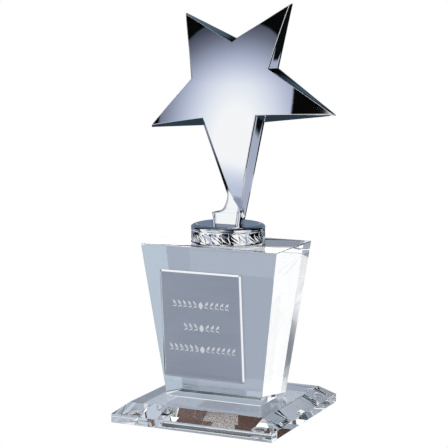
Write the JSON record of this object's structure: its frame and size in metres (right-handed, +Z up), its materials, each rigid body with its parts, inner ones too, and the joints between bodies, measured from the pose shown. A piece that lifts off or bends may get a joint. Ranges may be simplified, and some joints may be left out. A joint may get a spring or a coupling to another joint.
{
  "type": "star trophy",
  "caption": "Chrome star with a domed face, leaning back on a round embossed riser, on a tapered clear crystal column with a plaque and a bevelled crystal base plate.",
  "frame": {"origin": "on the surface the trophy stands on, below the middle of its bounding box", "axes": "+Z up; the front, with the plaque and the star's domed face, faces -Y; +X is to the right as seen from the front"},
  "size_m": [0.116, 0.0974, 0.2376],
  "materials": {
    "crystal": "clear optical crystal, cut and polished",
    "clear_adhesive": "clear cured adhesive",
    "chrome": "mirror-polished chrome plate",
    "satin_silver": "fine satin, engraved, with a polished bevel",
    "tape": "matt adhesive sheet",
    "zinc_steel": "zinc plated",
    "clear_rubber": "clear soft bumper"
  },
  "bodies": {
    "root": {"base_plate": "crystal", "column": "crystal", "column_bond": "clear_adhesive", "riser_pad": "clear_adhesive", "plaque": "satin_silver", "plaque_tape": "tape", "riser": "chrome", "star": "chrome", "star_stud": "zinc_steel", "star_washer": "zinc_steel", "star_nut": "zinc_steel", "bumper_front_left": "clear_rubber", "bumper_front_right": "clear_rubber", "bumper_rear_left": "clear_rubber", "bumper_rear_right": "clear_rubber"}
  },
  "joints": []
}
